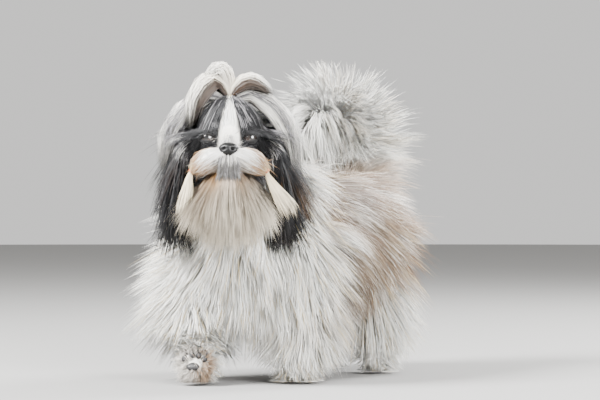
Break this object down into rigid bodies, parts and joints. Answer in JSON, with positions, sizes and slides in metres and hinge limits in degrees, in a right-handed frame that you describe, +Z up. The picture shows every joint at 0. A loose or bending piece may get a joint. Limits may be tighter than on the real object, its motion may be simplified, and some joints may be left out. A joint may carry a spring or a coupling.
{
  "type": "shih tzu dog",
  "caption": "Life-size still model of a long-coated small dog in mid-stride: tied topknot, tied moustache, hanging ears, curled plume tail.",
  "frame": {"origin": "on the floor, at the middle of the box round the whole dog", "axes": "+Z up, the dog's body faces -Y and its left side is +X"},
  "size_m": [0.322, 0.5202, 0.4187],
  "materials": {
    "white_coat": "long silky white hair, soft sheen",
    "fawn_coat": "long silky fawn and grey hair with white streaks",
    "silver_coat": "long silver and dark grey hair",
    "black_coat": "long black hair with grey streaks",
    "cream_coat": "cream to tan hair",
    "leather": "moist black nose leather and paw pads",
    "eye": "glossy dark brown eye",
    "claw": "dark horn",
    "elastic": "small orange elastic bands"
  },
  "bodies": {
    "root": {"barrel": "fawn_coat", "beard": "cream_coat", "chest": "white_coat", "claw_1": "claw", "claw_2": "claw", "claw_3": "claw", "claw_4": "claw", "ear_left": "black_coat", "ear_right": "black_coat", "eye_left": "eye", "eye_right": "eye", "foreleg_left": "white_coat", "foreleg_right": "white_coat", "head": "silver_coat", "heel_pad": "leather", "hindleg_left": "white_coat", "hindleg_right": "white_coat", "moustache_band_left": "elastic", "moustache_band_right": "elastic", "moustache_left": "cream_coat", "moustache_right": "cream_coat", "muzzle": "white_coat", "neck": "white_coat", "nose": "leather", "paw_right": "cream_coat", "rump": "fawn_coat", "tail_base": "fawn_coat", "tail_middle": "white_coat", "tail_tip": "white_coat", "toe_pad_1": "leather", "toe_pad_2": "leather", "toe_pad_3": "leather", "toe_pad_4": "leather", "topknot": "white_coat", "topknot_band": "elastic"}
  },
  "joints": []
}
